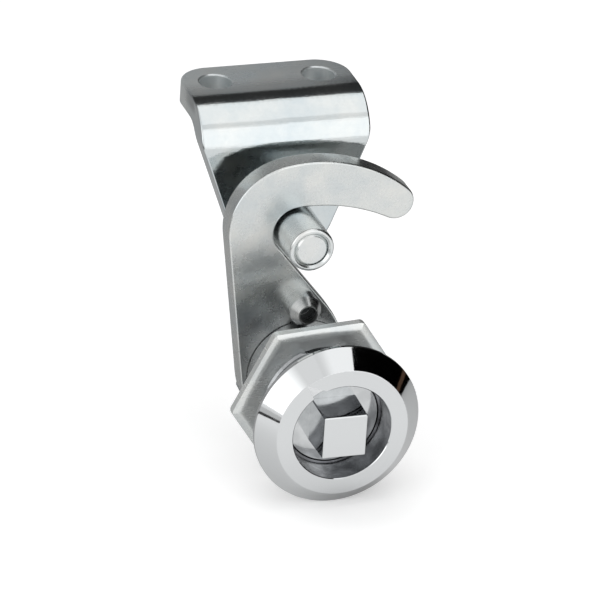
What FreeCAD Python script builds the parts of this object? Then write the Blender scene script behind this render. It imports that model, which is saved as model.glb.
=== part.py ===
import FreeCAD, Part
import math
import os

V = FreeCAD.Vector

# Quarter-turn hook latch with its keeper, in millimetres.
# The turning axis lies along Y, with the square key stub towards -Y.
# The origin is on that axis, in the back plane of the round head, where the panel bears.

# Housing
flange_d = 30.0
rim_h = 0.8
face_d = 23.9
head_h = 4.0
mouth_d = 17.9
mouth_draft = 2.5
face_edge = 0.15
mouth_edge = 0.12
rim_edge = 0.2
mark_inner_1 = 101.7
mark_inner_2 = 129.6
mark_sink = 0.95
mark_tip = 125.6
mark_round = 1.2
mark_depth = 0.9
# Threads are left plain at their pitch diameter
barrel_d = 21.2
barrel_flats = 20.0
barrel_chamfer = 0.6
thread_len = 14.2
end_d = 19.6
barrel_len = 19.8

# Driver
key_side = 8.0
key_draft = 1.3
key_edge = 0.25
key_reach = 1.6
socket_depth = 5.7
disc_d = 16.4
disc_h = 3.0
disc_gap = 0.3
body_d = 14.0
turn_fit = 0.05
axial_gap = 0.15
stop_lug_h = 2.4
stop_lug_deg = 46.0
stop_gap_deg = 0.6
turn_deg = 90.0
cam_square = 9.0
square_short = 0.2
tail_thread_d = 7.2
end_chamfer = 0.8

# Seal ring in the driver's groove
seal_wire = 1.5
seal_play = 0.03
seal_y = 13.0
groove_side = 0.25

# Panel nut
nut_af = 28.0
nut_h = 2.2
nut_y = 8.0
nut_turn = 3.6
nut_fit = 0.05
nut_corner_r = 1.2
nut_edge_r = 0.35
nut_roll_w = 1.7
nut_roll_r = 3.2

# Hook cam
cam_y = 20.0
cam_t = 4.0
cam_edge = 0.35
hub_r = 9.6
hub_shift = -1.3
back_tilt = 7.85
corner_r = 12.0
beak_depth = 8.5
beak_outer_r = 27.5
tip_r = 3.2
notch_r = 4.5
neck_deg = 38.7
neck_r = 19.0
hole_fit = 0.1

# Stud riveted to the cam
stud_x = -0.95
stud_z = 13.5
stud_d = 5.7
stud_straight = 3.5
stud_cone = 1.7
stud_tip_d = 3.6
stud_bore_d = 3.1
stud_bore_depth = 3.6
rivet_d = 3.4
rivet_fit = 0.05
rivet_head_d = 5.0
rivet_head_h = 0.7
rivet_chamfer = 0.5

# Washer and nut behind the cam
washer_d = 18.2
washer_t = 0.8
tab_reach = 10.9
tab_w = 3.0
tab_corner_r = 0.9
tab_deg = 207.0
washer_fit = 0.5
cam_nut_af = 13.0
cam_nut_h = 6.5
nut_chamfer = 0.6
thread_over = 1.6

# Keeper bracket, pin and roller
roller_x = -1.96
roller_z = 27.4
roller_d = 8.1
roller_len = 16.4
roller_edge = 0.5
rim_flat = 0.05
roller_play = 0.3
pin_d = 6.0
pin_fit = 0.06
pin_chamfer = 0.45
pin_recess = 0.15
roller_flare = 0.35
clip_wire = 0.6
clip_back = 3.0
clip_play = 0.1
tail_d = 5.0
tail_fit = 0.05
tail_head_d = 8.0
tail_head_h = 1.3
tail_chamfer = 0.6
keeper_y = 29.0
keeper_t = 4.0
keeper_w = 31.0
keeper_end_r = 9.9
taper_top_z = 40.6
taper_r = 7.5
flange_z = 46.95
flange_y = 48.2
bend_inner_r = 4.3
keeper_corner_r = 5.8
screw_hole_d = 5.8
screw_pitch = 19.0
screw_y = 42.0
screw_edge = 0.25
keeper_edge = 0.35

AXIS = V(0, 1, 0)
BIG = 200.0


def face_of(edges):
    return Part.Face(Part.Wire(Part.__sortEdges__(edges)))


def polygon(points):
    return Part.Face(Part.makePolygon(points + [points[0]]))


def turned(profile, x=0.0, z=0.0):
    """Solid of revolution about a line along Y from (radius, y) points."""
    points = [V(x + r, y, z) for r, y in profile]
    return polygon(points).revolve(V(x, 0, z), AXIS, 360)


def rod(d, y0, y1, x=0.0, z=0.0):
    return Part.makeCylinder(d / 2, y1 - y0, V(x, y0, z), AXIS)


def tube(d_out, d_in, y0, y1, x=0.0, z=0.0):
    return rod(d_out, y0, y1, x, z).cut(rod(d_in, y0 - 1, y1 + 1, x, z))


def polar(r, deg, x=0.0, z=0.0, y=0.0):
    return V(x + r * math.cos(math.radians(deg)), y, z + r * math.sin(math.radians(deg)))


def prism(face, y0, y1):
    """Extrude a face that was drawn in the plane Y = 0."""
    face = face.copy()
    face.translate(V(0, y0, 0))
    return face.extrude(V(0, y1 - y0, 0))


def sector(d_out, deg_from, deg_to, y0, y1):
    """Wedge of a disc, seen from the front, angles from +X towards +Z."""
    mid = (deg_from + deg_to) / 2
    a, m, b = (polar(d_out / 2, deg) for deg in (deg_from, mid, deg_to))
    edges = [Part.makeLine(V(0, 0, 0), a), Part.Arc(a, m, b).toShape(), Part.makeLine(b, V(0, 0, 0))]
    return prism(face_of(edges), y0, y1)


def hexagon(across, y0, y1, corner_deg, chamfer):
    """Hexagonal prism whose corners are cut by a 30 degree cone at both ends."""
    r = across / 2 / math.cos(math.radians(30))
    body = prism(polygon([polar(r, corner_deg + 60 * i) for i in range(6)]), y0, y1)
    run = chamfer / math.tan(math.radians(30))
    outline = [(0, y0), (r - run, y0), (r, y0 + chamfer), (r, y1 - chamfer), (r - run, y1), (0, y1)]
    return body.common(turned(outline))


def square_bar(side, y0, y1):
    return Part.makeBox(side, y1 - y0, side, V(-side / 2, y0, -side / 2))


def same(a, b):
    return abs(a - b) < 1e-6


def outline_edges(solid, y):
    """Edges that lie in the plane at this Y and belong to the outer outline."""
    for face in solid.Faces:
        flat = face.BoundBox
        if same(flat.YMin, y) and same(flat.YMax, y):
            return face.OuterWire.Edges
    return []


def ring_edges(solid, r, y):
    """Whole circles of this radius about the turning axis, in the plane at this Y."""
    rings = [e for e in solid.Edges if isinstance(e.Curve, Part.Circle) and same(e.Curve.Radius, r)]
    return [e for e in rings if same(e.BoundBox.YMin, y) and same(e.BoundBox.YMax, y)]


def rim_edges(faces):
    """Rim of a skin of several faces: the edges that only one of them has."""
    edges = [e for face in faces for e in face.OuterWire.Edges]
    return [e for e in edges if sum(e.isSame(other) for other in edges) == 1]


# Where the housing, the driver and the cam meet along the axis
disc_y = socket_depth - head_h
shoulder_y = disc_y + disc_h + axial_gap
lug_floor_y = shoulder_y + stop_lug_h + axial_gap
pocket_d = disc_d + 2 * disc_gap
bearing_d = body_d + 2 * turn_fit
cam_back_y = cam_y + cam_t
washer_back_y = cam_back_y + washer_t
nut_back_y = washer_back_y + cam_nut_h
# The housing's stop block fills what the lug and its travel leave free
lug_centre_deg = 180.0
lug_from = lug_centre_deg - stop_lug_deg / 2
lug_to = lug_centre_deg + stop_lug_deg / 2
travel_from = lug_from - stop_gap_deg
travel_to = lug_to + turn_deg + stop_gap_deg


def housing():
    """Die-cast head, threaded barrel and the bore for the driver, in one piece."""
    rim_r, face_r, barrel_r, end_r = flange_d / 2, face_d / 2, barrel_d / 2, end_d / 2
    outline = [(0, -head_h), (face_r, -head_h), (rim_r, -rim_h), (rim_r, 0), (barrel_r, 0),
               (barrel_r, thread_len - barrel_chamfer), (barrel_r - barrel_chamfer, thread_len),
               (end_r, thread_len), (end_r, barrel_len), (0, barrel_len)]
    head = turned(outline)
    flats = Part.makeBox(BIG, BIG, barrel_flats, V(-BIG / 2, 0, -barrel_flats / 2))
    front = Part.makeBox(BIG, BIG, BIG, V(-BIG / 2, -BIG, -BIG / 2))
    body = head.common(flats.fuse(front))
    draft = socket_depth * math.tan(math.radians(mouth_draft))
    mouth_r = mouth_d / 2
    floor_r = max(mouth_r - draft, pocket_d / 2)
    socket = turned([(0, -head_h), (mouth_r + mouth_edge, -head_h), (mouth_r, mouth_edge - head_h),
                     (floor_r, disc_y), (0, disc_y)])
    pocket = rod(pocket_d, disc_y, shoulder_y)
    lug_way = sector(pocket_d, travel_from, travel_to, shoulder_y, lug_floor_y)
    bore = rod(bearing_d, disc_y, barrel_len)
    body = body.cut(socket.fuse([pocket, lug_way, bore])).removeSplitter()
    body = body.makeFillet(rim_edge, ring_edges(body, rim_r, -rim_h) + ring_edges(body, rim_r, 0))
    body = body.makeFillet(face_edge, ring_edges(body, face_r, -head_h))
    # The position mark runs from the mouth to a point at the outer edge of the face
    inner_r = mouth_r - mark_sink
    mark = polygon([polar(face_r, mark_tip), polar(inner_r, mark_inner_1), polar(inner_r, mark_inner_2)])
    body = body.cut(prism(mark, -head_h - 1, mark_depth - head_h))
    upright = [e for e in body.Edges if same(e.BoundBox.YMin, mouth_edge - head_h)
               and same(e.BoundBox.YMax, mark_depth - head_h)]
    return body.makeFillet(mark_round, [max(upright, key=lambda e: e.BoundBox.XMax)])


def square_at(side, y):
    h = side / 2
    corners = [V(-h, y, -h), V(h, y, -h), V(h, y, h), V(-h, y, h)]
    return Part.makePolygon(corners + [corners[0]])


def driver():
    """Spindle with the square key stub, stop lug, seal groove and threaded end."""
    front_y = -head_h - key_reach
    spread = (disc_y - front_y) * math.tan(math.radians(key_draft))
    stub = Part.makeLoft([square_at(key_side - spread, front_y), square_at(key_side + spread, disc_y)], True)
    stub = stub.makeFillet(key_edge, [e for e in stub.Edges if e.BoundBox.YMin < disc_y - 0.01])
    disc = rod(disc_d, disc_y, disc_y + disc_h)
    body = rod(body_d, disc_y, cam_y)
    lug = sector(disc_d, lug_from, lug_to, disc_y + disc_h / 2, shoulder_y + stop_lug_h)
    groove_w = seal_wire + 2 * groove_side
    floor_d = bearing_d - 2 * (seal_wire + 2 * seal_play)
    groove = tube(body_d + 2, floor_d, seal_y - groove_w / 2, seal_y + groove_w / 2)
    end_y = nut_back_y + thread_over
    r = tail_thread_d / 2
    tail = turned([(0, cam_y), (r, cam_y), (r, end_y - end_chamfer), (r - end_chamfer, end_y), (0, end_y)])
    seat = square_bar(cam_square, cam_y, cam_back_y - square_short)
    return stub.fuse([disc, body, lug]).cut(groove).fuse([tail, seat]).removeSplitter()


def driver_seal():
    """Rubber ring that seals the driver in the barrel."""
    ring_r = bearing_d / 2 - seal_wire / 2 - seal_play
    return Part.makeTorus(ring_r, seal_wire / 2, V(0, seal_y, 0), AXIS)


def side_roll():
    """What shearing rounds off the front of the nut along one side, drawn for the side at +X."""
    inner = nut_af / 2 - nut_roll_w
    outer = nut_af / 2 + 1
    half = math.asin(nut_roll_w / nut_roll_r) / 2
    start = V(inner, nut_y, 0)
    mid = V(inner + nut_roll_r * math.sin(half), nut_y + nut_roll_r * (1 - math.cos(half)), 0)
    end = V(nut_af / 2, nut_y + nut_roll_r * (1 - math.cos(2 * half)), 0)
    edges = [Part.Arc(start, mid, end).toShape(),
             Part.makeLine(end, V(outer, end.y, 0)),
             Part.makeLine(V(outer, end.y, 0), V(outer, nut_y - 1, 0)),
             Part.makeLine(V(outer, nut_y - 1, 0), V(inner, nut_y - 1, 0)),
             Part.makeLine(V(inner, nut_y - 1, 0), start)]
    face = Part.Face(Part.Wire(edges))
    face.translate(V(0, 0, -nut_af / 2))
    return face.extrude(V(0, 0, nut_af))


def panel_nut():
    """Thin hexagonal nut, sheared from plate, that clamps the panel against the head."""
    r = nut_af / 2 / math.cos(math.radians(30))
    blank = prism(polygon([polar(r, nut_turn + 60 * i) for i in range(6)]), nut_y, nut_y + nut_h)
    upright = [e for e in blank.Edges if e.BoundBox.YLength > nut_h / 2]
    blank = blank.makeFillet(nut_corner_r, upright)
    blank = blank.makeFillet(nut_edge_r, outline_edges(blank, nut_y + nut_h))
    for i in range(6):
        roll = side_roll()
        roll.rotate(V(0, 0, 0), V(0, -1, 0), nut_turn + 30 + 60 * i)
        blank = blank.cut(roll)
    return blank.cut(rod(barrel_d + 2 * nut_fit, nut_y - 1, nut_y + nut_h + 1))


def unit(v):
    return v * (1.0 / v.Length)


def meet(c1, r1, c2, r2, side):
    """Point at r1 from c1 and r2 from c2, on the chosen side of the line c1 to c2."""
    gap = c2 - c1
    d = gap.Length
    along = (d * d + r1 * r1 - r2 * r2) / (2 * d)
    across = math.sqrt(r1 * r1 - along * along)
    u = unit(gap)
    return c1 + u * along + V(u.z, 0, -u.x) * (across * side)


def arc_about(centre, start, end, clockwise):
    """Arc round a centre from start to end, seen from the front."""
    a0 = math.atan2(start.z - centre.z, start.x - centre.x)
    a1 = math.atan2(end.z - centre.z, end.x - centre.x)
    if clockwise and a1 > a0:
        a1 -= 2 * math.pi
    if not clockwise and a1 < a0:
        a1 += 2 * math.pi
    mid = polar((start - centre).Length, math.degrees((a0 + a1) / 2), centre.x, centre.z)
    return Part.Arc(start, mid, end).toShape()


def hook_face():
    """Outline of the hook: hub, straight back, beak with round tip, notch and straight neck."""
    pivot = V(0, 0, 0)
    hub = V(hub_shift, 0, 0)
    roller = V(roller_x, 0, roller_z)
    under_r = roller.Length + notch_r
    outer = V(0, 0, under_r + beak_depth - beak_outer_r)
    # Straight back, tangent to the hub
    out = V(-math.cos(math.radians(back_tilt)), 0, -math.sin(math.radians(back_tilt)))
    up = V(out.z, 0, -out.x)
    back_low = hub + out * hub_r
    # Corner arc, tangent to the back and to the outer arc of the beak
    base = back_low - out * corner_r
    reach = base - outer
    half = reach.dot(up)
    rise = -half + math.sqrt(half * half - reach.dot(reach) + (beak_outer_r - corner_r) ** 2)
    corner = base + up * rise
    back_high = corner + out * corner_r
    corner_end = outer + unit(corner - outer) * beak_outer_r
    # Round tip, tangent to the outer arc and to the underside
    tip = meet(pivot, under_r + tip_r, outer, beak_outer_r - tip_r, 1)
    tip_start = outer + unit(tip - outer) * beak_outer_r
    tip_end = unit(tip) * under_r
    # Underside runs round the pivot and meets the notch, which hugs the roller
    notch_start = unit(roller) * under_r
    notch_end = polar(notch_r, neck_deg + 180, roller.x, roller.z)
    # Straight neck, tangent to the notch, then a wide arc that is tangent to the hub
    side = polar(1, neck_deg)
    down = polar(1, neck_deg - 90)
    start = notch_end - side * neck_r - hub
    half = start.dot(down)
    run = -half - math.sqrt(half * half - start.dot(start) + (neck_r - hub_r) ** 2)
    neck_low = notch_end + down * run
    wide = neck_low - side * neck_r
    hub_start = hub + unit(hub - wide) * hub_r
    edges = [Part.makeLine(back_low, back_high),
             arc_about(corner, back_high, corner_end, True),
             arc_about(outer, corner_end, tip_start, True),
             arc_about(tip, tip_start, tip_end, True),
             arc_about(pivot, tip_end, notch_start, False),
             arc_about(roller, notch_start, notch_end, False),
             Part.makeLine(notch_end, neck_low),
             arc_about(wide, neck_low, hub_start, True),
             arc_about(hub, hub_start, back_low, True)]
    return Part.Face(Part.Wire(edges))


def hook_cam():
    """Flat steel hook with eased edges, a square hole and the stud's rivet hole."""
    plate = prism(hook_face(), cam_y, cam_back_y)
    plate = plate.makeFillet(cam_edge, outline_edges(plate, cam_y) + outline_edges(plate, cam_back_y))
    hole = square_bar(cam_square + 2 * hole_fit, cam_y - 1, cam_back_y + 1)
    rivet = rod(rivet_d + 2 * rivet_fit, cam_y - 1, cam_back_y + 1, stud_x, stud_z)
    return plate.cut(hole.fuse(rivet))


def cam_stud():
    """Hollow-ended stud, riveted through the cam."""
    r, tip, shank = stud_d / 2, stud_tip_d / 2, rivet_d / 2
    shoulder = cam_y - stud_straight
    end = shoulder - stud_cone
    back = cam_back_y + rivet_head_h
    outline = [(0, end), (tip, end), (r, shoulder), (r, cam_y), (shank, cam_y), (shank, cam_back_y),
               (rivet_head_d / 2, cam_back_y), (rivet_head_d / 2 - rivet_chamfer, back), (0, back)]
    body = turned(outline, stud_x, stud_z)
    return body.cut(rod(stud_bore_d, end - 1, end + stud_bore_depth, stud_x, stud_z))


def tab_washer():
    """Flat washer with one locking tab that shows beside the hub."""
    tab = Part.makeBox(tab_reach, washer_t, tab_w, V(0, cam_back_y, -tab_w / 2))
    rounded = tab.makeFillet(tab_corner_r, [e for e in tab.Edges if same(e.BoundBox.XMin, tab_reach)
                                            and e.BoundBox.YLength > washer_t / 2])
    rounded.rotate(V(0, 0, 0), V(0, -1, 0), tab_deg)
    disc = rod(washer_d, cam_back_y, washer_back_y).fuse(rounded).removeSplitter()
    return disc.cut(rod(tail_thread_d + 2 * washer_fit, cam_back_y - 1, washer_back_y + 1))


def cam_nut():
    """Hexagonal nut that clamps the cam to the driver."""
    blank = hexagon(cam_nut_af, washer_back_y, nut_back_y, 30, nut_chamfer)
    return blank.cut(rod(tail_thread_d + 2 * nut_fit, washer_back_y - 1, nut_back_y + 1))


def keeper_outline():
    """Front view of the keeper: full width above, tapering to the round end at the pin."""
    half = keeper_w / 2
    centre = V(roller_x, 0, roller_z)
    top = V(roller_x + half, 0, taper_top_z)
    arm = top - centre
    slope = math.atan2(arm.z, arm.x) - math.acos(keeper_end_r / arm.Length)
    right = centre + V(math.cos(slope), 0, math.sin(slope)) * keeper_end_r
    left = V(2 * roller_x - right.x, 0, right.z)
    low = centre - V(0, 0, keeper_end_r)
    above = flange_z + 1
    edges = [Part.Arc(left, low, right).toShape(),
             Part.makeLine(right, top),
             Part.makeLine(top, V(top.x, 0, above)),
             Part.makeLine(V(top.x, 0, above), V(roller_x - half, 0, above)),
             Part.makeLine(V(roller_x - half, 0, above), V(roller_x - half, 0, top.z)),
             Part.makeLine(V(roller_x - half, 0, top.z), left)]
    block = prism(Part.Face(Part.Wire(edges)), keeper_y - 1, flange_y + 1)
    shoulders = [e for e in block.Edges if same(e.BoundBox.ZMin, taper_top_z) and same(
        e.BoundBox.ZMax, taper_top_z)]
    return block.makeFillet(taper_r, shoulders)


def on_keeper_skin(face):
    """True for the face towards the hook, the outside of the bend and the top of the flange."""
    box = face.BoundBox
    front = same(box.YMin, keeper_y) and same(box.YMax, keeper_y)
    top = same(box.ZMin, flange_z) and same(box.ZMax, flange_z)
    bend = isinstance(face.Surface, Part.Cylinder) and box.XLength > keeper_w / 2
    return front or top or (bend and same(box.ZMax, flange_z))


def keeper_bracket():
    """Thick angle of plate: screw flange above, round tongue for the pin below."""
    half = keeper_w / 2
    x0 = roller_x - half
    low = roller_z - keeper_end_r
    bend_r = bend_inner_r + keeper_t
    cy, cz = keeper_y + bend_r, flange_z - bend_r
    s = math.sqrt(0.5)
    back = keeper_y + keeper_t
    under = flange_z - keeper_t
    iy, iz = back + bend_inner_r, under - bend_inner_r

    def at(y, z):
        return V(x0, y, z)
    edges = [Part.makeLine(at(keeper_y, low), at(keeper_y, cz)),
             Part.Arc(at(keeper_y, cz), at(cy - bend_r * s, cz + bend_r * s), at(cy, flange_z)).toShape(),
             Part.makeLine(at(cy, flange_z), at(flange_y, flange_z)),
             Part.makeLine(at(flange_y, flange_z), at(flange_y, under)),
             Part.makeLine(at(flange_y, under), at(iy, under)),
             Part.Arc(at(iy, under), at(iy - bend_inner_r * s, iz + bend_inner_r * s), at(back, iz)).toShape(),
             Part.makeLine(at(back, iz), at(back, low)),
             Part.makeLine(at(back, low), at(keeper_y, low))]
    angle = Part.Face(Part.Wire(edges)).extrude(V(keeper_w, 0, 0))
    body = angle.common(keeper_outline())
    corners = [e for e in body.Edges if same(e.BoundBox.YMin, flange_y)
               and same(e.BoundBox.YMax, flange_y) and e.BoundBox.ZLength > keeper_t / 2]
    body = body.makeFillet(keeper_corner_r, corners)
    body = body.makeFillet(keeper_edge, rim_edges([f for f in body.Faces if on_keeper_skin(f)]))
    for side in (-1, 1):
        x = roller_x + side * screw_pitch / 2
        body = body.cut(Part.makeCylinder(screw_hole_d / 2, 2 * keeper_t, V(x, screw_y, under - keeper_t / 2)))
    holes = [e for e in body.Edges if isinstance(e.Curve, Part.Circle)
             and same(e.Curve.Radius, screw_hole_d / 2) and same(e.BoundBox.ZMin, e.BoundBox.ZMax)]
    body = body.makeChamfer(screw_edge, holes)
    return body.cut(rod(tail_d + 2 * tail_fit, keeper_y - 1, back + 1, roller_x, roller_z))


# Places along the keeper pin
roller_back_y = keeper_y - roller_play
roller_front_y = roller_back_y - roller_len
clip_y = roller_front_y + clip_back


def keeper_pin():
    """Turned pin, shouldered against the keeper and riveted over behind it."""
    r, tail = pin_d / 2, tail_d / 2
    front = roller_front_y + pin_recess
    back = keeper_y + keeper_t
    groove_r = r - clip_wire / 2 - clip_play
    half = clip_wire / 2 + clip_play
    outline = [(0, front), (r - pin_chamfer, front), (r, front + pin_chamfer), (r, clip_y - half),
               (groove_r, clip_y - half), (groove_r, clip_y + half), (r, clip_y + half),
               (r, keeper_y), (tail, keeper_y), (tail, back), (tail_head_d / 2, back),
               (tail_head_d / 2 - tail_chamfer, back + tail_head_h), (0, back + tail_head_h)]
    return turned(outline, roller_x, roller_z)


def keeper_roller():
    """Steel sleeve that turns on the pin, with a rounded rim and a flared mouth."""
    bore_r = pin_d / 2 + pin_fit
    r = roller_d / 2
    front, back = roller_front_y, roller_back_y
    groove_r = pin_d / 2 + clip_wire / 2 + clip_play
    half = clip_wire / 2 + clip_play
    outline = [(bore_r + roller_flare, front), (r, front), (r, back), (bore_r, back),
               (bore_r, clip_y + half), (groove_r, clip_y + half), (groove_r, clip_y - half),
               (bore_r, clip_y - half), (bore_r, front + roller_flare)]
    body = turned(outline, roller_x, roller_z)
    rims = [e for e in body.Edges if isinstance(e.Curve, Part.Circle) and same(e.Curve.Radius, r)]
    wall = r - bore_r - roller_flare
    return body.makeFillet(min(roller_edge, wall - rim_flat), rims)


def roller_clip():
    """Wire ring that shares one groove with the pin and the roller and keeps the roller on."""
    return Part.makeTorus(pin_d / 2, clip_wire / 2, V(roller_x, clip_y, roller_z), AXIS)


nodes = {"housing": housing, "driver": driver, "driver_seal": driver_seal, "panel_nut": panel_nut,
         "hook_cam": hook_cam, "cam_stud": cam_stud, "tab_washer": tab_washer, "cam_nut": cam_nut,
         "keeper_bracket": keeper_bracket, "keeper_pin": keeper_pin, "keeper_roller": keeper_roller,
         "roller_clip": roller_clip}

os.makedirs("parts", exist_ok=True)
for name, make in nodes.items():
    shape = make()
    shape.exportStep("parts/" + name + ".step")
    print(name, "solids", len(shape.Solids), "valid", shape.isValid(), "volume", round(shape.Volume, 1))
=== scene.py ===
import math

import bmesh
import bpy
from mathutils import Matrix, Vector


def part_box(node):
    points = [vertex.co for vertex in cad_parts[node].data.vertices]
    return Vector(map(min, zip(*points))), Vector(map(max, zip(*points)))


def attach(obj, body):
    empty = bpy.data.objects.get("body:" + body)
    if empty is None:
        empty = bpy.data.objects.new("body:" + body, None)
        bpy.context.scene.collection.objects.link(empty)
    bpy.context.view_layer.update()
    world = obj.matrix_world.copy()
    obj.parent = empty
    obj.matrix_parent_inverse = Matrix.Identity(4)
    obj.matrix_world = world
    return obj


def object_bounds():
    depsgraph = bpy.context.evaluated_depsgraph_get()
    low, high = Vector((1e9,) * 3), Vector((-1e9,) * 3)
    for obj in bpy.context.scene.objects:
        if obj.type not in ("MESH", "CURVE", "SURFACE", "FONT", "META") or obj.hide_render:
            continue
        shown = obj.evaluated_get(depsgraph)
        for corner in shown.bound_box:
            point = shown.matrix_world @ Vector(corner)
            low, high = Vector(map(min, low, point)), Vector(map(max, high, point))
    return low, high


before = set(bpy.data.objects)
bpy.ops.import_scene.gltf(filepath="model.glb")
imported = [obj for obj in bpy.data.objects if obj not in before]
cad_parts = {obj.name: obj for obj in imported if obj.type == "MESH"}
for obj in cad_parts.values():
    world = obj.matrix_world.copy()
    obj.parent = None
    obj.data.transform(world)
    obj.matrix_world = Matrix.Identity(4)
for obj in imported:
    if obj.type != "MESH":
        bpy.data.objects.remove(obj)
cad_low, cad_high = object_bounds()


# Housing: a zinc die casting, turned on its face and barrel, then polished and chrome plated.
# The head stays in front of the panel. The plate is a mirror that shows the room, a little
# uneven where the casting under it was, and duller in the key socket and on the barrel. There
# its colour is darkened as painted shade, and on the back of the flange it is lightened as a
# painted sheen.
def linear(code):
    """Linear colour of an sRGB hex value."""
    parts = [int(code[i:i + 2], 16) / 255 for i in (1, 3, 5)]
    return [c / 12.92 if c <= 0.04045 else ((c + 0.055) / 1.055) ** 2.4 for c in parts] + [1.0]


def add(tree, kind, inputs=None, **settings):
    """A new node with its settings, its input values and its links."""
    made = tree.nodes.new(kind)
    for name, value in settings.items():
        setattr(made, name, value)
    for key, value in (inputs or {}).items():
        if isinstance(value, bpy.types.NodeSocket):
            tree.links.new(value, made.inputs[key])
        else:
            made.inputs[key].default_value = value
    return made


def start_material(name):
    """An empty material with its output, and the place on the piece in metres."""
    material = bpy.data.materials.new(name)
    material.use_nodes = True
    tree = material.node_tree
    tree.nodes.clear()
    output = add(tree, "ShaderNodeOutputMaterial")
    place = add(tree, "ShaderNodeTexCoord").outputs["Object"]
    return material, tree, output, place


def dress(name, material):
    """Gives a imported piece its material."""
    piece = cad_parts[name]
    piece.data.materials.clear()
    piece.data.materials.append(material)


def chrome_plate(name, shade, polish, haze, zones=()):
    """Bright chrome: mirror gloss, faint orange peel and hairlines from wiping.

    Each zone is a ring round the Y axis, as two radii and two places along Y, with the two
    shades that streak it and the roughness that it adds. A noise scale is 1000 over the size
    of its features in millimetres."""
    material, tree, output, place = start_material(name)
    peel = add(tree, "ShaderNodeTexNoise", {"Vector": place, "Scale": 1000 / 2.38, "Detail": 2.0})
    bump = add(tree, "ShaderNodeBump", {"Height": peel.outputs["Fac"], "Strength": 0.05, "Distance": 0.00003})
    wiped = add(tree, "ShaderNodeMapping", {
        "Vector": place, "Rotation": (0.4, 0.9, 0.3), "Scale": (1000 / 3.333, 1000 / 3.333, 1000 / 0.1667)})
    hairs = add(tree, "ShaderNodeTexNoise", {"Vector": wiped.outputs["Vector"], "Scale": 1.0, "Detail": 3.0})
    smear = add(tree, "ShaderNodeTexNoise", {"Vector": place, "Scale": 1000 / 6.25, "Detail": 4.0,
                                             "Roughness": 0.6})
    both = add(tree, "ShaderNodeMath", {0: hairs.outputs["Fac"], 1: smear.outputs["Fac"]},
               operation="MULTIPLY")
    gloss = add(tree, "ShaderNodeMapRange", {"Value": both.outputs["Value"], "From Min": 0.12,
                                             "From Max": 0.42, "To Min": polish, "To Max": haze})
    colour, rough = linear(shade), gloss.outputs["Result"]
    if zones:
        flat = add(tree, "ShaderNodeVectorMath", {0: place, 1: (1, 0, 1)}, operation="MULTIPLY")
        radius = add(tree, "ShaderNodeVectorMath", {0: flat.outputs["Vector"]},
                     operation="LENGTH").outputs["Value"]
        along = add(tree, "ShaderNodeSeparateXYZ", {"Vector": place}).outputs["Y"]
        streak = add(tree, "ShaderNodeTexNoise", {"Vector": place, "Scale": 1000 / 4.35, "Detail": 4.0,
                                                  "Roughness": 0.6})
        streaked = add(tree, "ShaderNodeMapRange", {"Value": streak.outputs["Fac"], "From Min": 0.36,
                                                    "From Max": 0.66}).outputs["Result"]
    for low_r, high_r, low_y, high_y, dark, light, extra in zones:
        worn = add(tree, "ShaderNodeMix", {"Factor": streaked, "A": linear(dark), "B": linear(light)},
                   data_type="RGBA")
        mask = 1.0
        for value, limit, side in ((radius, low_r, "GREATER_THAN"), (radius, high_r, "LESS_THAN"),
                                   (along, low_y, "GREATER_THAN"), (along, high_y, "LESS_THAN")):
            test = add(tree, "ShaderNodeMath", {0: value, 1: limit}, operation=side)
            mask = add(tree, "ShaderNodeMath", {0: mask, 1: test.outputs["Value"]},
                       operation="MULTIPLY").outputs["Value"]
        colour = add(tree, "ShaderNodeMix", {"Factor": mask, "A": colour, "B": worn.outputs["Result"]},
                     data_type="RGBA").outputs["Result"]
        rough = add(tree, "ShaderNodeMath", {0: mask, 1: extra, 2: rough},
                    operation="MULTIPLY_ADD").outputs["Value"]
    metal = add(tree, "ShaderNodeBsdfPrincipled", {
        "Base Color": colour, "Metallic": 1.0, "Roughness": rough, "Normal": bump.outputs["Normal"]})
    tree.links.new(metal.outputs["BSDF"], output.inputs["Surface"])
    return material


chrome_shade, polish, haze = "#D2D4D5", 0.03, 0.09
bright_chrome = chrome_plate("bright_chrome_plate", chrome_shade, polish, haze)
mouth_r, face_r, rim_inner_r = 0.00896, 0.0118, 0.0112
mark_gap, mark_skin = 0.00014, 0.00005
head_front, head_back, back_skin = -0.004, -0.0001, 0.0003
# A zone with far in it has no limit on that side.
far = 1
# Key socket: duller unpolished plating, with its colour darkened as painted shade in the recess.
socket_dull_and_shade_zone = (-far, mouth_r, -far, far, "#636467", "#A4A5A8", 0.16)
mark_zone = (mouth_r + mark_gap, face_r, head_front + mark_skin, 0, "#D6D8D9", "#E4E5E6", 0.32)
# Back of the flange: satin plating, with its colour lightened as a painted sheen in the shaded gap behind the
# head.
flange_back_satin_and_sheen_zone = (rim_inner_r, far, head_back, back_skin, "#E2E3E3", "#F0F0F0", 0.45)
# Barrel: duller turned plating, with its colour darkened as painted shade for the dark gap between the nut
# and the hook.
barrel_dull_and_shade_zone = (mouth_r, far, back_skin, far, "#8E9092", "#A8AAAC", 0.13)
dress("housing", chrome_plate("chrome_plated_casting", chrome_shade, polish, haze,
                              (socket_dull_and_shade_zone, mark_zone, flange_back_satin_and_sheen_zone, barrel_dull_and_shade_zone)))


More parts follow.
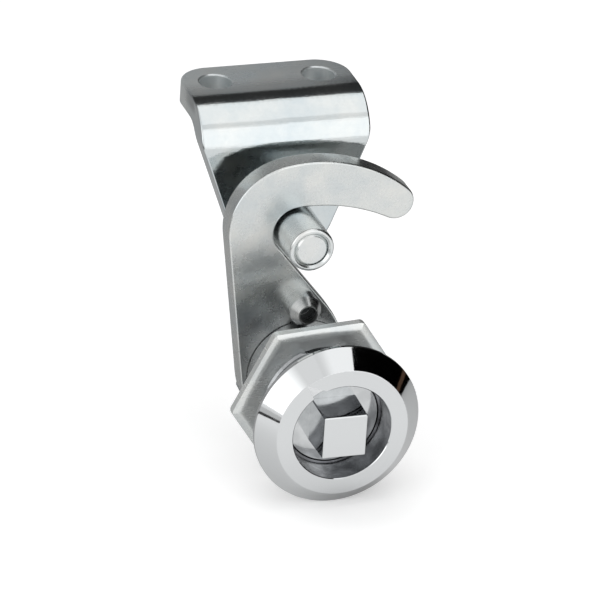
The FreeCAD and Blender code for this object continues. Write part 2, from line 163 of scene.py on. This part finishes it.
# Barrel thread: M22 x 1.5, cut into the barrel and broken by its two flats.
# Its ridges stand on the barrel, whose solid is plain at the thread's middle diameter.
def thread_ridge(core_r, crest_r, pitch, start_y, end_y):
    """A helical ridge round the Y axis, with a flattened crest, closed at both ends."""
    ridge = bmesh.new()
    sunk, steps_per_turn = 0.00005, 64
    half_root, half_crest = 0.31 * pitch, 0.07 * pitch
    outline = [(core_r - sunk, -half_root), (crest_r, -half_crest),
               (crest_r, half_crest), (core_r - sunk, half_root)]
    corners = [ridge.verts.new((r, start_y + half_root + y, 0)) for r, y in outline]
    loop = [ridge.edges.new((corners[i], corners[(i + 1) % 4])) for i in range(4)]
    turns = (end_y - start_y - 2 * half_root) / pitch
    steps = round(steps_per_turn * turns)
    bmesh.ops.spin(ridge, geom=loop, cent=(0, 0, 0), axis=(0, 1, 0), dvec=(0, turns * pitch / steps, 0),
                   angle=turns * 2 * math.pi, steps=steps, use_merge=False, use_duplicate=False)
    bmesh.ops.holes_fill(ridge, edges=[e for e in ridge.edges if e.is_boundary], sides=0)
    bmesh.ops.recalc_face_normals(ridge, faces=ridge.faces)
    return ridge


def place_piece(name, shape, material, body):
    """Turns a finished bmesh into a piece with its material, riding on a body."""
    mesh = bpy.data.meshes.new(name)
    shape.to_mesh(mesh)
    shape.free()
    mesh.materials.append(material)
    piece = bpy.data.objects.new(name, mesh)
    bpy.context.scene.collection.objects.link(piece)
    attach(piece, body)


barrel_r, barrel_crest_r, barrel_pitch = 0.0106, 0.011, 0.0015
thread_start, thread_end, flat_half = 0.0002, 0.0142, 0.010
ridge = thread_ridge(barrel_r, barrel_crest_r, barrel_pitch, thread_start, thread_end)
for side in (-1, 1):
    bmesh.ops.bisect_plane(ridge, geom=ridge.verts[:] + ridge.edges[:] + ridge.faces[:],
                           plane_co=(0, 0, side * flat_half), plane_no=(0, 0, side), clear_outer=True)
    bmesh.ops.holes_fill(ridge, edges=[e for e in ridge.edges if e.is_boundary], sides=0)
# The thread takes the barrel's duller plating and its painted shade.
thread_chrome = chrome_plate("chrome_plated_thread", chrome_shade, 0.06, 0.14, (barrel_dull_and_shade_zone,))
place_piece("barrel_thread", ridge, thread_chrome, "mounting")

# Driver: a steel spindle, turned, squared at both ends, and chrome plated like the housing.
# Its square stub takes the key. Its faces are flat and bright, with a crisp edge, and the disc
# round the stub is a little darker and duller.
disc_front = 0.0016
disc_zone = (-far, far, disc_front, far, "#BEC0C1", "#D2D4D5", 0.05)
dress("driver", chrome_plate("chrome_plated_spindle", chrome_shade, polish, haze, (disc_zone,)))

# Tail thread: M8, cut on the driver's tail. The cam nut is screwed on it, so its ridges start
# inside the nut and come out behind it.
tail_core_r, tail_crest_r, tail_pitch, tail_bevel = 0.0036, 0.004, 0.00125, 0.0006
tail_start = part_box("cam_nut")[1].y - 2 * tail_pitch
tail_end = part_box("driver")[1].y - tail_bevel
ridge = thread_ridge(tail_core_r, tail_crest_r, tail_pitch, tail_start, tail_end)
place_piece("tail_thread", ridge, bright_chrome, "cam")

# Seal ring: a moulded ring of black nitrile rubber in the driver's groove.
# It is matt and hidden inside the barrel.
material, tree, output, place = start_material("nitrile_rubber")
skin = add(tree, "ShaderNodeTexNoise", {"Vector": place, "Scale": 1000 / 0.4, "Detail": 2.0})
bump = add(tree, "ShaderNodeBump", {"Height": skin.outputs["Fac"], "Strength": 0.2, "Distance": 0.00002})
rubber = add(tree, "ShaderNodeBsdfPrincipled", {"Base Color": linear("#1A1A1B"), "Roughness": 0.6,
                                                "Normal": bump.outputs["Normal"]})
tree.links.new(rubber.outputs["BSDF"], output.inputs["Surface"])
dress("driver_seal", material)


# Panel nut: pressed steel hexagon, zinc plated and passivated to a cool silver.
# The plating is satin and a little milky, with soft clouds of blue and grey and a fine grain.
def zinc_plate(name, cool, warm, gloss_low, gloss_high, grain, cloud=9.09, bore=None, relief=0.16,
               grey_pits=0.05, metallic=1.0):
    """Blue-passivated zinc: satin silver, clouded in hue and gloss, with the grain of the steel.

    Cloud and grain are sizes in millimetres, the grain's one for each axis. A bore is the X and
    Z of its centre, its radius and its end along Y, inside which the colour is darkened as painted
    shade."""
    material, tree, output, place = start_material(name)
    clouds = add(tree, "ShaderNodeTexNoise", {"Vector": place, "Scale": 1000 / cloud, "Detail": 5.0,
                                              "Roughness": 0.62})
    hue = add(tree, "ShaderNodeMapRange", {"Value": clouds.outputs["Fac"], "From Min": 0.35,
                                           "From Max": 0.65})
    tint = add(tree, "ShaderNodeMix", {"Factor": hue.outputs["Result"], "A": linear(cool), "B": linear(warm)},
               data_type="RGBA")
    long_way = add(tree, "ShaderNodeMapping", {"Vector": place, "Scale": [1000 / size for size in grain]})
    rolled = add(tree, "ShaderNodeTexNoise", {"Vector": long_way.outputs["Vector"], "Scale": 1.0,
                                              "Detail": 4.0})
    fine = add(tree, "ShaderNodeTexNoise", {"Vector": place, "Scale": 1000 / 0.5263, "Detail": 2.0})
    height = add(tree, "ShaderNodeMath", {0: rolled.outputs["Fac"], 1: fine.outputs["Fac"]}, operation="ADD")
    bump = add(tree, "ShaderNodeBump", {"Height": height.outputs["Value"], "Strength": relief,
                                        "Distance": 0.00003})
    mixed = add(tree, "ShaderNodeMath", {0: clouds.outputs["Fac"], 1: rolled.outputs["Fac"]},
                operation="MULTIPLY")
    gloss = add(tree, "ShaderNodeMapRange", {"Value": mixed.outputs["Value"], "From Min": 0.12,
                                             "From Max": 0.4, "To Min": gloss_low, "To Max": gloss_high})
    pits = add(tree, "ShaderNodeTexNoise", {"Vector": place, "Scale": 1000 / 0.3846, "Detail": 3.0,
                                            "Roughness": 0.65})
    pitted = add(tree, "ShaderNodeMapRange", {"Value": pits.outputs["Fac"], "From Min": 0.46,
                                              "From Max": 0.72, "To Max": grey_pits})
    colour = add(tree, "ShaderNodeMix", {"Factor": pitted.outputs["Result"], "A": tint.outputs["Result"],
                                         "B": linear("#84888A")}, data_type="RGBA").outputs["Result"]
    # Painted shade: inside the bore the colour is darkened, standing in for the shade in the blind hole.
    if bore:
        x, z, bore_r, bore_end = bore
        moved = add(tree, "ShaderNodeVectorMath", {0: place, 1: (x, 0, z)}, operation="SUBTRACT")
        across = add(tree, "ShaderNodeVectorMath", {0: moved.outputs["Vector"], 1: (1, 0, 1)},
                     operation="MULTIPLY")
        reach = add(tree, "ShaderNodeVectorMath", {0: across.outputs["Vector"]}, operation="LENGTH")
        within = add(tree, "ShaderNodeMath", {0: reach.outputs["Value"], 1: bore_r}, operation="LESS_THAN")
        depth = add(tree, "ShaderNodeSeparateXYZ", {"Vector": place}).outputs["Y"]
        before = add(tree, "ShaderNodeMath", {0: depth, 1: bore_end}, operation="LESS_THAN")
        hole = add(tree, "ShaderNodeMath", {0: within.outputs["Value"], 1: before.outputs["Value"]},
                   operation="MULTIPLY")
        colour = add(tree, "ShaderNodeMix", {"Factor": hole.outputs["Value"], "A": colour,
                                             "B": linear("#3A3C3D")}, data_type="RGBA").outputs["Result"]
    metal = add(tree, "ShaderNodeBsdfPrincipled", {
        "Base Color": colour, "Metallic": metallic, "Roughness": gloss.outputs["Result"],
        "Normal": bump.outputs["Normal"]})
    tree.links.new(metal.outputs["BSDF"], output.inputs["Surface"])
    return material


dress("panel_nut", zinc_plate("zinc_plated_nut", "#D0D5D6", "#E3E4E1", 0.19, 0.31, (3.333, 3.333, 0.4),
                              metallic=0.7))

# Hook cam: cut from 4 mm steel plate, tumbled so that its edges are eased, then zinc plated.
# The faces are satin, with faint clouds and fine grey pits.
dress("hook_cam", zinc_plate("zinc_plated_hook", "#CBD0D1", "#DCDDDA", 0.23, 0.32, (2, 2, 2), cloud=7.143,
                             grey_pits=0.13))

# Stud: turned steel, zinc plated, and riveted through the hook.
# Its cone is bright, and the blind hole in its end is darkened with painted shade.
turned_grain = (3.333, 0.2857, 3.333)
stud_low, stud_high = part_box("cam_stud")
stud_x, stud_z = (stud_low.x + stud_high.x) / 2, (stud_low.z + stud_high.z) / 2
stud_bore_r, stud_bore_depth = 0.00153, 0.0037
dress("cam_stud", zinc_plate("zinc_plated_stud", "#A6AAAC", "#C8C9C7", 0.22, 0.34, turned_grain,
                             bore=(stud_x, stud_z, stud_bore_r, stud_low.y + stud_bore_depth)))

# Washer and cam nut: plated steel. The washer is stamped, with a tab that locks it to the hook,
# and the hexagon nut behind it clamps the hook on the driver's square. Both are satin silver.
turned_zinc = zinc_plate("zinc_plated_turned_steel", "#C2C9CC", "#D4D5D3", 0.22, 0.34, turned_grain)
dress("tab_washer", turned_zinc)
dress("cam_nut", turned_zinc)

# Keeper: bent from 4 mm steel plate and zinc plated. The press tool draws the bend smooth, so
# that it shines. Where the bend starts, dark strokes are painted into the colour: partly draw
# marks, partly a painted reflection that feathers the edge of the bend's dark band. The flange
# stays satin, and its screw holes keep the matt wall of the drill.
keeper_zinc = zinc_plate("zinc_plated_keeper", "#C3CBCE", "#D3D6D5", 0.09, 0.17, (8.333, 0.3846, 0.3846),
                         relief=0.4)
tree = keeper_zinc.node_tree
metal = tree.nodes["Principled BSDF"]
place = tree.nodes["Texture Coordinate"].outputs["Object"]
spot = add(tree, "ShaderNodeSeparateXYZ", {"Vector": place})
keeper_low, keeper_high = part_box("keeper_bracket")

# The strokes lie across the bend on its outer skin. They start ragged on the bend and fade out
# on the flange. Their grain is in millimetres, and all other lengths here are in metres.
stroke_grain, stroke_length, stroke_and_reflection_dark = (0.3333, 2.857, 2.857), 0.002, 0.5
bend_side, bend_full, flange_full, flange_side = 0.0335, 0.0358, 0.037, 0.0425
skin_low, skin_full = keeper_high.z - 0.003, keeper_high.z - 0.0015
drawn = add(tree, "ShaderNodeMapping", {"Vector": place, "Scale": [1000 / size for size in stroke_grain]})
strokes = add(tree, "ShaderNodeTexNoise", {"Vector": drawn.outputs["Vector"], "Scale": 1.0, "Detail": 3.0})
uneven = add(tree, "ShaderNodeMath", {0: strokes.outputs["Fac"], 1: 0.5}, operation="SUBTRACT")
ragged = add(tree, "ShaderNodeMath", {0: uneven.outputs["Value"], 1: stroke_length, 2: spot.outputs["Y"]},
             operation="MULTIPLY_ADD")
dark = stroke_and_reflection_dark
for value, start, end in ((ragged.outputs["Value"], bend_side, bend_full),
                          (spot.outputs["Y"], flange_side, flange_full),
                          (spot.outputs["Z"], skin_low, skin_full)):
    ease = add(tree, "ShaderNodeMapRange", {"Value": value, "From Min": start, "From Max": end},
               interpolation_type="SMOOTHSTEP")
    dark = add(tree, "ShaderNodeMath", {0: dark, 1: ease.outputs["Result"]},
               operation="MULTIPLY").outputs["Value"]
# The strokes darken the colour: draw marks, and a painted reflection feathering the bend's dark band.
marks_and_painted_reflection = add(tree, "ShaderNodeMix", {"Factor": dark, "A": metal.inputs["Base Color"].links[0].from_socket,
                                     "B": linear("#4E5153")}, data_type="RGBA")

# The holes lie on both sides of the keeper's middle, so X is folded there and one circle does.
hole_out, hole_y, hole_r, hole_matt = 0.0095, 0.042, 0.003, 0.22
keeper_x = (keeper_low.x + keeper_high.x) / 2
centred = add(tree, "ShaderNodeVectorMath", {0: place, 1: (keeper_x, hole_y, 0)}, operation="SUBTRACT")
folded = add(tree, "ShaderNodeVectorMath", {0: centred.outputs["Vector"]}, operation="ABSOLUTE")
from_hole = add(tree, "ShaderNodeVectorMath", {0: folded.outputs["Vector"], 1: (hole_out, 0, 0)},
                operation="SUBTRACT")
across = add(tree, "ShaderNodeVectorMath", {0: from_hole.outputs["Vector"], 1: (1, 1, 0)},
             operation="MULTIPLY")
reach = add(tree, "ShaderNodeVectorMath", {0: across.outputs["Vector"]}, operation="LENGTH")
inside = add(tree, "ShaderNodeMath", {0: reach.outputs["Value"], 1: hole_r}, operation="LESS_THAN")
matt = add(tree, "ShaderNodeMath", {0: inside.outputs["Value"], 1: hole_matt,
                                    2: metal.inputs["Roughness"].links[0].from_socket},
           operation="MULTIPLY_ADD")

# The flange is rougher than the bend and a little milky, as thick plating on rolled steel is.
flange_matt, flange_milk, satin_start, satin_full = 0.17, -0.15, 0.0368, 0.0415
flange = add(tree, "ShaderNodeMapRange", {"Value": spot.outputs["Y"], "From Min": satin_start,
                                          "From Max": satin_full}, interpolation_type="SMOOTHSTEP")
satin = add(tree, "ShaderNodeMath", {0: flange.outputs["Result"], 1: flange_matt, 2: matt.outputs["Value"]},
            operation="MULTIPLY_ADD")
milky = add(tree, "ShaderNodeMath", {0: flange.outputs["Result"], 1: flange_milk, 2: 1.0},
            operation="MULTIPLY_ADD")
tree.links.new(marks_and_painted_reflection.outputs["Result"], metal.inputs["Base Color"])
tree.links.new(satin.outputs["Value"], metal.inputs["Roughness"])
tree.links.new(milky.outputs["Value"], metal.inputs["Metallic"])
dress("keeper_bracket", keeper_zinc)

# Keeper pin, roller and clip: the pin and the sleeve that turns on it are turned from steel and
# zinc plated, satin with a bright rim. A wire ring in a groove of the pin holds the sleeve on.
roller_zinc = zinc_plate("zinc_plated_roller", "#CDD3D5", "#DFE0DE", 0.20, 0.32, turned_grain)
dress("keeper_pin", roller_zinc)
dress("keeper_roller", roller_zinc)
dress("roller_clip", turned_zinc)


# Studio: a pale table in a white room. Black boards to the right and behind give the metal its
# dark reflections, and large lights above, to the left and in front give it the bright ones.
def board(name, corners, radiance, rim=0.0, fades=(), shade="#FFFFFF"):
    """A flat board that only mirror reflections see.

    Each fade is an axis and two places on it, between which the board goes from rim to radiance."""
    mesh = bpy.data.meshes.new(name)
    made = bmesh.new()
    made.faces.new([made.verts.new(c) for c in corners])
    made.to_mesh(mesh)
    made.free()
    piece = bpy.data.objects.new(name, mesh)
    bpy.context.scene.collection.objects.link(piece)
    material, tree, output, place = start_material(name)
    shine = radiance
    if fades:
        spot, share = add(tree, "ShaderNodeSeparateXYZ", {"Vector": place}), 1.0
        for axis, start, end in fades:
            ease = add(tree, "ShaderNodeMapRange", {"Value": spot.outputs[axis], "From Min": start,
                                                    "From Max": end}, interpolation_type="SMOOTHSTEP")
            share = add(tree, "ShaderNodeMath", {0: share, 1: ease.outputs["Result"]},
                        operation="MULTIPLY").outputs["Value"]
        shine = add(tree, "ShaderNodeMath", {0: share, 1: radiance - rim, 2: rim},
                    operation="MULTIPLY_ADD").outputs["Value"]
    surface = add(tree, "ShaderNodeEmission", {"Color": linear(shade), "Strength": shine})
    tree.links.new(surface.outputs["Emission"], output.inputs["Surface"])
    mesh.materials.append(material)
    piece.visible_camera = False
    piece.visible_diffuse = False
    piece.visible_shadow = False


def upright(start, end, low, high):
    """Corners of an upright board over the line from start to end, each an X and a Y."""
    return [(*start, low), (*end, low), (*end, high), (*start, high)]


def level(left, right, front, back, z):
    """Corners of a level board at the height z."""
    return [(left, front, z), (right, front, z), (right, back, z), (left, back, z)]


table_z = cad_low.z
right_x, right_front, right_lift = 0.30, -0.30, 0.010
back_y, back_top, dark_x, grey_x = 0.42, 0.31, 0.15, -0.10
roof_z, roof_front, roof_back, roof_left, slope_left = 0.55, -0.33, 0.22, -0.12, -0.35
board("black_board_right", [(right_x, right_front, table_z + right_lift), (right_x, back_y, table_z),
                            (right_x, back_y, roof_z), (right_x, right_front, roof_z)], 0.0)
board("grey_board_back", upright((dark_x, back_y), (grey_x, back_y), table_z, back_top), 0.46)
board("black_board_back", upright((right_x, back_y), (dark_x, back_y), table_z, back_top), 0.03)
board("dark_board_above", [(right_x, back_y, back_top), (slope_left, back_y, back_top),
                           (slope_left, roof_back, roof_z), (right_x, roof_back, roof_z)], 0.06)
front_y, front_low, front_top = -0.45, 0.015, 0.49
board("bright_board_front", upright((-0.05, front_y), (0.45, front_y), front_low, front_top), 1.5)
under_roof = roof_z - 0.001
board("soft_board_above", level(roof_left, right_x, roof_front, roof_back, under_roof), 1.3, 0.95,
      (("X", -0.10, 0.05),))
left_x, left_front, left_back, left_low, left_top = -0.46, -0.50, 0.05, 0.02, 0.70
board("soft_board_left", upright((left_x, left_front), (left_x, left_back), left_low, left_top), 2.1, 0.98,
      (("Y", left_back, -0.30), ("Z", left_top, 0.16)))
board("grey_strip_left", level(-0.70, -0.135, -0.40, left_back, table_z + 0.0005), 0.66)
board("dark_strip_left", level(-0.165, -0.115, -0.20, left_back, table_z + 0.001), 0.05, 0.66,
      (("Y", -0.20, -0.08),))
edge_x = right_x - 0.003
board("brown_edge_right", upright((edge_x, -0.004), (edge_x, 0.006), table_z, 0.12), 0.16, shade="#C49A80")


def softbox(name, place, aim, width, height, radiance):
    """A soft light of the given brightness. Boards stand for it in the reflections."""
    lamp = bpy.data.lights.new(name, "AREA")
    lamp.shape = "RECTANGLE"
    lamp.size, lamp.size_y = width, height
    lamp.energy = radiance * math.pi * width * height
    light = bpy.data.objects.new(name, lamp)
    light.location = place
    light.rotation_euler = (Vector(aim) - Vector(place)).to_track_quat("-Z", "Y").to_euler()
    light.visible_camera = False
    light.visible_glossy = False
    bpy.context.scene.collection.objects.link(light)


over_x, over_y, beside_y, beside_z = 0.125, -0.01, -0.27, 0.24
softbox("overhead_light", (over_x, over_y, roof_z), (over_x, over_y, 0), 0.35, 0.52, 1.05)
softbox("left_light", (left_x, beside_y, beside_z), (0, beside_y, beside_z), 0.45, 0.42, 2.2)

# Table: a matt white top with no edge in view. The camera sees it lifted to white, except close
# under the latch, where a contact shadow is painted into the lift. Mirrors see it darker, with a
# painted shade that grows towards the back and a painted contact shadow under the latch.
floor_mesh = bpy.data.meshes.new("table")
shape = bmesh.new()
bmesh.ops.create_grid(shape, x_segments=1, y_segments=1, size=6.0)
bmesh.ops.translate(shape, verts=shape.verts, vec=(0, 0, table_z))
shape.to_mesh(floor_mesh)
shape.free()
floor = bpy.data.objects.new("table", floor_mesh)
bpy.context.scene.collection.objects.link(floor)
material, tree, output, place = start_material("white_table")
path = add(tree, "ShaderNodeLightPath")
seen = add(tree, "ShaderNodeMath", {0: path.outputs["Is Glossy Ray"], 1: path.outputs["Is Transmission Ray"]},
           operation="ADD").outputs["Value"]
# Mirror rays see the top darker, and the painted shade and lift below set what they see.
shade = add(tree, "ShaderNodeMix", {"Factor": seen, "A": linear("#E6E6E6"), "B": linear("#A8A8A8")},
            data_type="RGBA")
paper = add(tree, "ShaderNodeBsdfDiffuse", {"Color": shade.outputs["Result"]})
spot = add(tree, "ShaderNodeSeparateXYZ", {"Vector": place})
# Painted shade in reflections: the mirror lift fades towards the back.
mirror_shade_to_back = add(tree, "ShaderNodeMapRange", {"Value": spot.outputs["Y"], "From Min": -0.035, "From Max": 0.04,
                                        "To Min": 0.72, "To Max": 0.1}, interpolation_type="SMOOTHSTEP")
touch = (0.004, 0.0, table_z)
apart = add(tree, "ShaderNodeVectorMath", {0: place, 1: touch}, operation="DISTANCE").outputs["Value"]
# Painted contact shadow in reflections: the mirror lift is lower close under the latch.
mirror_contact_shadow = add(tree, "ShaderNodeMapRange", {"Value": apart, "From Min": 0.002, "From Max": 0.015,
                                              "To Min": 0.35}, interpolation_type="SMOOTHSTEP")
mirror_lift = add(tree, "ShaderNodeMath", {0: mirror_shade_to_back.outputs["Result"], 1: mirror_contact_shadow.outputs["Result"]},
                  operation="MULTIPLY")
# Painted contact shadow for the camera: the lift is lower close under the latch.
camera_contact_shadow = add(tree, "ShaderNodeMapRange", {"Value": apart, "From Min": 0.006, "From Max": 0.022,
                                           "To Min": 0.36, "To Max": 0.5}, interpolation_type="SMOOTHSTEP")
camera_lift = add(tree, "ShaderNodeMath", {0: path.outputs["Is Camera Ray"], 1: camera_contact_shadow.outputs["Result"]},
                  operation="MULTIPLY")
lift = add(tree, "ShaderNodeMath", {0: seen, 1: mirror_lift.outputs["Value"],
                                    2: camera_lift.outputs["Value"]}, operation="MULTIPLY_ADD")
glow = add(tree, "ShaderNodeEmission", {"Strength": lift.outputs["Value"]})
sheet = add(tree, "ShaderNodeAddShader", {0: paper.outputs["BSDF"], 1: glow.outputs["Emission"]})
tree.links.new(sheet.outputs["Shader"], output.inputs["Surface"])
floor_mesh.materials.append(material)

# Room: plain white to the camera. It lights the latch evenly, and mirrors see it brighter in
# front than behind.
world = bpy.data.worlds.new("white_studio")
bpy.context.scene.world = world
world.use_nodes = True
tree = world.node_tree
tree.nodes.clear()
path = add(tree, "ShaderNodeLightPath")
mirrored = add(tree, "ShaderNodeMath", {0: path.outputs["Is Glossy Ray"],
                                        1: path.outputs["Is Transmission Ray"]}, operation="ADD")
way = add(tree, "ShaderNodeSeparateXYZ", {"Vector": add(tree, "ShaderNodeTexCoord").outputs["Generated"]})
ahead = add(tree, "ShaderNodeMapRange", {"Value": way.outputs["Y"], "From Min": -0.2, "From Max": 0.4,
                                         "To Min": 0.55, "To Max": -0.2}, interpolation_type="SMOOTHSTEP")
room_light = 0.7
room = add(tree, "ShaderNodeMath", {0: mirrored.outputs["Value"], 1: ahead.outputs["Result"],
                                    2: room_light}, operation="MULTIPLY_ADD")
strength = add(tree, "ShaderNodeMath", {0: path.outputs["Is Camera Ray"], 1: room.outputs["Value"]},
               operation="MAXIMUM")
sky = add(tree, "ShaderNodeBackground", {"Strength": strength.outputs["Value"]})
add(tree, "ShaderNodeOutputWorld", {"Surface": sky.outputs["Background"]})

# Camera: far off with a long lens, up and to the left of the latch's axis, turned a little.
# It looks at a point between the hook and the head.
aim = Vector((-0.003988, 0.011246, 0.018548))
distance = 1.0408
azimuth, elevation, roll = (math.radians(a) for a in (-19.647, 26.505, 3.924))
back = Vector((math.sin(azimuth) * math.cos(elevation), -math.cos(azimuth) * math.cos(elevation),
               math.sin(elevation)))
eye = bpy.data.cameras.new("camera")
eye.lens = 360.0
eye.sensor_width = 36.0
eye.clip_start, eye.clip_end = 0.05, 20.0
camera = bpy.data.objects.new("camera", eye)
turn = (-back).to_track_quat("-Z", "Y").to_matrix() @ Matrix.Rotation(roll, 3, "Z")
camera.matrix_world = Matrix.Translation(aim + back * distance) @ turn.to_4x4()
bpy.context.scene.collection.objects.link(camera)
bpy.context.scene.camera = camera
bpy.context.scene.view_settings.view_transform = "Standard"
